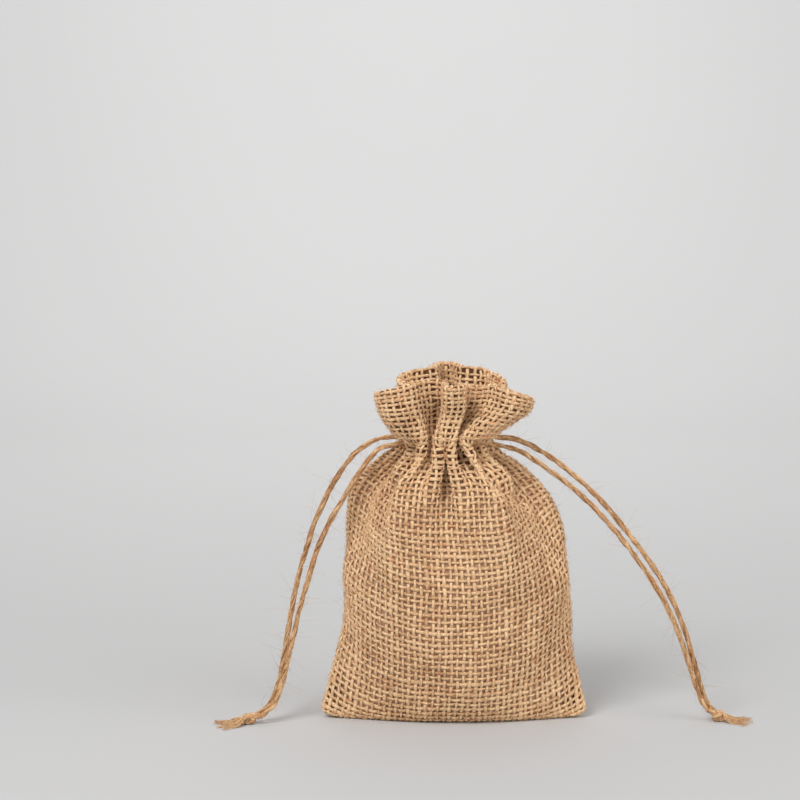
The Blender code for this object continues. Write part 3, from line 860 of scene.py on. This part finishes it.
class SackClothSettings(bpy.types.PropertyGroup):
    """Sizes and colours of the woven cloth."""

    warps: bpy.props.IntProperty(
        name="Warps", description="Yarns up the cloth, counted round the sack", default=90, min=20
    )
    wefts: bpy.props.IntProperty(
        name="Wefts", description="Yarns round the sack, counted up the cloth", default=65, min=20
    )
    yarn_width: length_setting("Yarn width", "Width of a yarn as it lies in the cloth", 0.00126)
    yarn_thickness: length_setting("Yarn thickness", "Thickness of a flattened yarn", 0.00086)
    crimp: length_setting("Crimp", "How far a yarn swings over and under the others", 0.00034)
    # The pale colour is also the painted highlight on the yarns' crowns, and the dark one the painted shade
    # down their flanks.
    pale: colour_setting("Pale fibre", "Colour of the yarns' crowns", (0.90, 0.635, 0.375))
    dark: colour_setting("Dark fibre", "Colour of the yarns' flanks", (0.41, 0.17, 0.06))
    belly: colour_setting("Belly ground", "What shows between yarns low down", (0.64, 0.405, 0.275))
    # The frill ground is painted shade: the dark seen between the yarns of the frill's folds.
    frill: colour_setting("Frill ground", "What shows between yarns in the frill", (0.085, 0.033, 0.014))


class SackTwineSettings(bpy.types.PropertyGroup):
    """Sizes and colours of the ties."""

    ply_width: length_setting("Ply width", "Width of each of the two plies", 0.00122)
    ply_offset: length_setting("Ply offset", "From the twine's middle to a ply's", 0.00036)
    lay: length_setting("Lay", "Length in which the plies turn once", 0.0125)
    pale: colour_setting("Pale fibre", "Light colour of the twine", (0.87, 0.59, 0.325))
    dark: colour_setting("Dark fibre", "Dark colour of the twine", (0.32, 0.125, 0.04))


class SackStageSettings(bpy.types.PropertyGroup):
    """Camera, floor and light."""

    floor: colour_setting("Floor", "Colour of the floor and backdrop", (0.570, 0.567, 0.566))
    elevation: bpy.props.FloatProperty(
        name="Elevation", description="Camera's rise over level", default=math.radians(8), subtype="ANGLE"
    )
    distance: length_setting("Distance", "From the camera to the middle of the view", 0.9)
    key: strength_setting("Key light", "Power of the main light in watts", 5.0)
    fill: strength_setting("Fill light", "Power of the second light in watts", 1.4)
    wall: strength_setting("Wall light", "Power of the light on the backdrop in watts", 6.5)
    sky: strength_setting("Ambient", "Strength of the light all round", 0.57)


class SACK_OT_stage(bpy.types.Operator):
    """Sets the camera, the soft lights and a pale floor that curves up behind the sack"""

    bl_idname = "sack.stage"
    bl_label = "Set the Stage"

    def execute(self, context):
        settings = context.scene.sack_stage
        rise = settings.elevation
        place = VIEW_TARGET + Vector((0, -math.cos(rise), math.sin(rise))) * settings.distance
        lens = bpy.data.cameras.new("Camera")
        lens.sensor_width = SENSOR
        lens.lens = SENSOR * settings.distance / VIEW_WIDTH
        context.scene.camera = aimed("Camera", lens, place, VIEW_TARGET)
        context.scene.view_settings.view_transform = "Standard"
        for name, light in LIGHTS.items():
            lamp = bpy.data.lights.new(name, "AREA")
            lamp.size, lamp.energy = light.size, getattr(settings, name)
            aimed(name.title(), lamp, light.place, light.target)
        world = bpy.data.worlds.new("Studio")
        world.use_nodes = True
        sky = world.node_tree.nodes["Background"].inputs
        sky[0].default_value, sky[1].default_value = SKY, settings.sky
        context.scene.world = world
        self.backdrop(settings)
        return {"FINISHED"}

    def backdrop(self, settings):
        """A strip of floor whose far part turns up on a wide bend."""
        mesh, column, row = grid_mesh(3, PAPER_ROWS)
        run = np.where(row > 0, PAPER_START + row * PAPER_STEP, -PAPER_NEAR)
        past = np.maximum(run - PAPER_FLAT, 0)
        turn = np.minimum(past / PAPER_BEND, math.pi / 2)
        wall = np.maximum(past - PAPER_BEND * math.pi / 2, 0)
        y = np.minimum(run, PAPER_FLAT) + PAPER_BEND * np.sin(turn)
        z = PAPER_BEND * (1 - np.cos(turn)) + wall
        places = np.column_stack([(column - 1) * PAPER_HALF_WIDTH, y, z])
        mesh.vertices.foreach_set("co", places.astype(np.float32).ravel())
        mesh.shade_smooth()
        finish = Finish("Backdrop paper", roughness=0.9)
        shaded = [level * PAPER_SHADE for level in settings.floor]
        patches = (finish.mottle(PAPER_PATCHES) * PAPER_MIX).clamped()
        finish.colour(finish.mixed(patches, (*settings.floor, 1.0), (*shaded, 1.0)))
        mesh.materials.append(finish.material)
        placed("Backdrop", mesh)


class SACK_OT_cloth(bpy.types.Operator):
    """Weaves the sack: the shaded ground of the cloth, and every warp and weft over it"""

    bl_idname = "sack.cloth"
    bl_label = "Weave the Cloth"

    def execute(self, context):
        settings = context.scene.sack_cloth
        cloth = Cloth()
        rng = np.random.default_rng(SEED)
        yarn = fibre_finish("Hessian yarn", settings.pale, settings.dark, twist=24.0, crown_shading_share=0.42)
        ground = self.ground(settings, cloth)
        woven = self.warps(settings, cloth, rng, yarn) + self.wefts(settings, cloth, rng, yarn)
        woven.append(self.stitches(cloth, rng, yarn))
        woven.append(self.loose_fibre("fuzz", CLOTH_FUZZ, FUZZ_OFF, cloth, rng, yarn))
        woven.append(self.loose_fibre("nap", CLOTH_NAP, NAP_OFF, cloth, rng, yarn))
        return {"FINISHED"}

    def ground(self, settings, cloth):
        """The thin sheet behind the yarns, which stands for the sack's solid."""
        wide, tall = GROUND_GRID
        mesh, column, row = grid_mesh(wide, tall)
        along, up = column * GIRTH / (wide - 1), row * cloth.top / (tall - 1)
        points, normals = cloth.at(along, up)
        points = points - normals * (GROUND_IN * (1 - eased(up, *GROUND_RISES)))[:, None]
        points[:, 2] = np.maximum(points[:, 2], GROUND_LOWEST)
        mesh.vertices.foreach_set("co", (points * MM).astype(np.float32).ravel())
        # Painted shade mask: rising towards the neck and frill, and at the bottom corners.
        corner = eased(np.abs(points[:, 0]), *CORNER_ACROSS) * (1 - eased(up, *CORNER_UP))
        set_values(mesh, "gathered", np.maximum(eased(up, *PAINTED_SHADE_UP), corner))
        close_up(mesh)
        finish = ground_finish("Hessian ground", settings.belly, settings.frill)
        return add_piece("sack_ground", mesh, finish, ["sack"])

    def warps(self, settings, cloth, rng, yarn):
        """Yarns up the cloth from the bottom fold into the turned hem, as a front and a rear piece."""
        half = settings.warps // 2
        steps = (settings.wefts + HEM_WEFTS) * CROSSING_STEPS + 1
        pitch, weft_pitch = GIRTH / settings.warps, HEIGHT / settings.wefts
        number = np.arange(half)[:, None]
        pieces = []
        for name, side in (("front", 1), ("rear", -1)):
            up = np.arange(steps)[None] * weft_pitch / CROSSING_STEPS + np.zeros((half, 1))
            along = (number + 0.5) * pitch + wander(rng, half, steps, WARP_DRIFT)
            along = along if side > 0 else GIRTH - along
            swing = np.cos(math.pi * (side * up / weft_pitch - 0.5)) * np.where(number % 2, -1, 1)
            mesh = self.yarns(settings, cloth, rng, (along, up, swing, WARP_TONE))
            pieces.append(add_piece(f"sack_warp_{name}", mesh, yarn))
        return pieces

    def wefts(self, settings, cloth, rng, yarn):
        """Yarns round the sack, as a lower and an upper piece."""
        steps = settings.warps * CROSSING_STEPS + 1
        pitch = HEIGHT / settings.wefts
        warp_pitch = GIRTH / settings.warps
        count = settings.wefts + HEM_WEFTS
        pieces = []
        for name, numbers in (("lower", range(count // 2)), ("upper", range(count // 2, count))):
            number = np.array(numbers)[:, None]
            along = np.linspace(0, GIRTH, steps)[None] + np.zeros((len(number), 1))
            drift = wander(rng, len(number), steps, WEFT_DRIFT)
            drift[:, -WEFT_CLOSING:] += (drift[:, :1] - drift[:, -1:]) * np.linspace(0, 1, WEFT_CLOSING)
            up = (number + 0.5) * pitch + drift
            swing = -np.cos(math.pi * (along / warp_pitch - 0.5)) * np.where(number % 2, -1, 1)
            mesh = self.yarns(settings, cloth, rng, (along, up, swing, WEFT_TONE))
            pieces.append(add_piece(f"sack_weft_{name}", mesh, yarn))
        return pieces

    def yarns(self, settings, cloth, rng, run):
        """Yarns laid on the cloth, which swing over and under each other and swell and fade as they go."""
        along, up, swing, tone = run
        points, normals = cloth.at(along, up)
        points = points + normals * (swing * settings.crimp / MM)[..., None]
        count, steps = along.shape
        own = rng.uniform(*YARN_WIDTHS, (count, 1))
        slub = own * (1 + wander(rng, count, steps, YARN_SLUBS))
        half_wide = settings.yarn_width / MM / 2 * slub
        half_thick = settings.yarn_thickness / MM / 2 * (YARN_FIRM + (1 - YARN_FIRM) * slub)
        tone = tone + rng.uniform(*YARN_TONES, (count, 1)) + wander(rng, count, steps, YARN_PATCHES)
        return swept(points, normals, half_wide, half_thick, YARN_SIDES, tone)

    def stitches(self, cloth, rng, yarn):
        """Running stitches in two rows, above and below the tie's channel."""
        count = STITCHES * len(STITCH_ROWS)
        spacing = GIRTH / STITCHES
        start = np.tile(np.arange(STITCHES) * spacing, len(STITCH_ROWS))[:, None]
        share = np.linspace(0, 1, STITCH_STEPS)[None]
        along = start + share * spacing * STITCH_SHARE
        up = np.repeat(STITCH_ROWS, STITCHES)[:, None] + rng.uniform(*STITCH_STRAY, (count, 1)) + 0 * share
        points, normals = cloth.at(along, up)
        points = points + normals * (STITCH_LIFT * np.sin(math.pi * share) ** 0.5 - STITCH_SUNK)[..., None]
        thick = np.full(points.shape[:2], STITCH_THREAD)
        tone = np.full(thick.shape, STITCH_TONE)
        mesh = swept(points, normals, thick, thick, YARN_SIDES, tone)
        return add_piece("sack_stitches", mesh, yarn)

    def loose_fibre(self, name, hair, off, cloth, rng, yarn):
        """Hairs all over the cloth, with their roots a little off its middle."""
        along = rng.uniform(0, GIRTH, hair.count)
        roots, outward = cloth.at(along, rng.uniform(FUZZ_FROM, HEM_TOP + FUZZ_PAST, hair.count))
        mesh = hairs(roots + outward * off, outward, hair, rng)
        return add_piece("sack_" + name, mesh, yarn)


class SACK_OT_ties(bpy.types.Operator):
    """Lays the four strands of the two ties, with their knots and frayed tails"""

    bl_idname = "sack.ties"
    bl_label = "Lay the Ties"

    def execute(self, context):
        settings = context.scene.sack_twine
        rng = np.random.default_rng(SEED + 1)
        finish = fibre_finish("Jute twine", settings.pale, settings.dark, twist=34.0, crown_shading_share=0.1)
        knots = {side: self.knot(side, settings, rng, finish) for side in KNOTS}
        for name, points in STRANDS.items():
            first, second = np.array(points[0]), np.array(points[1])
            start = first + unit(first - second) * INTO_NECK
            route = smooth_route([start, *points], ROUTE_STEP)
            twine = twine_mesh([route], settings, rng)
            strand = add_piece(name + "_twine", twine, finish, [name])
            add_piece(name + "_fuzz", self.strand_fuzz(route, rng), finish)
            distances(route)[-1] * MM
        return {"FINISHED"}

    def strand_fuzz(self, route, rng):
        """The fibre round one strand: wild hairs, and bundles that lie along it."""
        places = rng.integers(STRAND_BARE, len(route) - 2, STRAND_FUZZ.count)
        outward = unit(rng.normal(0, 1, (STRAND_FUZZ.count, 3)))
        roots = route[places] + outward * TWINE * STRAND_ROOTS
        return join_meshes([hairs(roots, outward, STRAND_FUZZ, rng), self.bundles(route, rng)])

    def bundles(self, route, rng):
        """Bundles of fibre that run along the strand's outside and wind round it slowly."""
        first, second = carried_frames(route)
        steps = np.arange(BUNDLE_STEPS)[None]
        begin = rng.integers(BUNDLE_BARE, len(route) - BUNDLE_STEPS * BUNDLE_STRIDE - 1, BUNDLES)[:, None]
        place = begin + steps * BUNDLE_STRIDE
        turn = rng.uniform(0, 2 * math.pi, (BUNDLES, 1)) + steps * rng.uniform(*BUNDLE_TURNS, (BUNDLES, 1))
        out = first[place] * np.cos(turn)[..., None] + second[place] * np.sin(turn)[..., None]
        away = TWINE / 2 * (BUNDLE_OUT + wander(rng, BUNDLES, BUNDLE_STEPS, BUNDLE_WAVERS))
        taper = np.sin(np.linspace(*BUNDLE_TAPER, BUNDLE_STEPS))[None]
        radius = rng.uniform(*BUNDLE_RADII, (BUNDLES, 1)) * taper
        tone = differing(rng, BUNDLE_TONES, (BUNDLES, BUNDLE_STEPS))
        points = route[place] + out * away[..., None]
        return swept(points, out, radius, radius, FIBRE_SIDES, tone)

    def knot(self, side, settings, rng, finish):
        """An overhand knot of both strands, with their ends frayed and spread on the surface."""
        knot = KNOTS[side]
        middle = np.array(knot.middle)
        heading = math.radians(knot.heading)
        ahead = np.array([math.cos(heading), math.sin(heading), 0.0])
        across = np.array([-ahead[1], ahead[0], 0.0])
        turn = np.linspace(0, 2 * math.pi, KNOT_STEPS + 1)
        out = KNOT_LOOP * (2 + np.cos(3 * turn))
        loop = np.column_stack([out * np.cos(2 * turn), out * np.sin(2 * turn), KNOT_RISE * np.sin(3 * turn)])
        inner = loop[:, (1, 0, 2)] * INNER_SCALE
        loops = [middle + loop + (0, 0, LOOP_LIFT), middle + inner + (0, 0, INNER_LIFT)]
        meshes = [twine_mesh(loops, settings, rng)]
        for strand in ("rear", "front"):
            end = np.array(STRANDS[f"cord_{side}_{strand}"][-1])
            lead = smooth_route([end, (end + middle) / 2 + (0, 0, LOOP_LIFT), middle], ROUTE_STEP)
            meshes.append(twine_mesh([lead], settings, rng))
        tails = []
        for offset in (-TAIL_PARTING, TAIL_PARTING):
            bend = middle + ahead * TAIL_BEND + across * offset
            end = middle + ahead * TAIL_LENGTH + across * offset * TAIL_SPREAD
            falling = [place - (0, 0, TAIL_FALL * i) for i, place in enumerate((middle, bend, end))]
            tails.append(smooth_route(falling, ROUTE_STEP))
        steps = min(map(len, tails))
        meshes.append(twine_mesh([tail[:steps] for tail in tails], settings, rng))
        meshes.append(self.fibres(middle + ahead * (TAIL_LENGTH - TAIL_BEND), ahead, across, rng))
        name = f"knot_{side}"
        return add_piece(name + "_twine", join_meshes(meshes), finish, [name])

    def fibres(self, root, ahead, across, rng):
        """The frayed tail: fine bundles that fan out, settle and curl a little."""
        share = np.linspace(0, 1, FIBRE_STEPS)[None, :, None]
        place = rng.uniform(-1, 1, FIBRES)
        fan = place * FIBRE_SPREAD / 2 + np.sign(place) * FIBRE_PARTING
        turn = np.radians(fan + rng.normal(0, FIBRE_STRAY, FIBRES))
        out = np.outer(np.cos(turn), ahead) + np.outer(np.sin(turn), across)
        length = rng.uniform(*FIBRE_LENGTHS, FIBRES)[:, None, None]
        radius = rng.uniform(*FIBRE_RADII, (FIBRES, 1))
        start = root + np.outer(place, across) + np.outer(rng.uniform(*FIBRE_ROOTS, FIBRES), (0, 0, 1))
        bow = np.cross(out, (0, 0, 1.0)) * rng.normal(0, FIBRE_BOW, (FIBRES, 1))
        points = start[:, None] + (out[:, None] * share + bow[:, None] * np.sin(share * FIBRE_WAVE)) * length
        floor = radius * FIBRE_TAPER[0] + np.abs(rng.normal(0, FIBRE_PILE, (FIBRES, 1)))
        settle = eased(share[..., 0], 0.0, FIBRE_SETTLED)
        points[..., 2] = points[..., 2] * (1 - settle) + floor * settle
        normals = np.zeros(points.shape)
        normals[..., 2] = 1
        taper = radius * np.linspace(*FIBRE_TAPER, FIBRE_STEPS)[None]
        tone = differing(rng, FIBRE_TONES, (FIBRES, FIBRE_STEPS))
        return swept(points, normals, taper, taper, FIBRE_SIDES, tone)


class SACK_PT_panel(bpy.types.Panel):
    """Lists the sack's steps and settings"""

    bl_idname = "SACK_PT_panel"
    bl_label = "Burlap Sack"
    bl_space_type = "VIEW_3D"
    bl_region_type = "UI"
    bl_category = "Burlap Sack"

    def draw(self, context):
        for settings in (context.scene.sack_stage, context.scene.sack_cloth, context.scene.sack_twine):
            box = self.layout.box()
            for name in settings.bl_rna.properties.keys():
                if name not in ("rna_type", "name"):
                    box.prop(settings, name)
        for operator in OPERATORS:
            self.layout.operator(operator.bl_idname)


SETTINGS = {"sack_stage": SackStageSettings, "sack_cloth": SackClothSettings, "sack_twine": SackTwineSettings}
OPERATORS = (SACK_OT_stage, SACK_OT_cloth, SACK_OT_ties)


def register():
    for kind in (*SETTINGS.values(), *OPERATORS, SACK_PT_panel):
        bpy.utils.register_class(kind)
    for name, kind in SETTINGS.items():
        setattr(bpy.types.Scene, name, bpy.props.PointerProperty(type=kind))


def unregister():
    for name in SETTINGS:
        delattr(bpy.types.Scene, name)
    for kind in (SACK_PT_panel, *OPERATORS, *SETTINGS.values()):
        bpy.utils.unregister_class(kind)


def main():
    register()
    bpy.ops.sack.stage()
    bpy.ops.sack.ties()
    bpy.ops.sack.cloth()


if __name__ == "__main__":
    main()
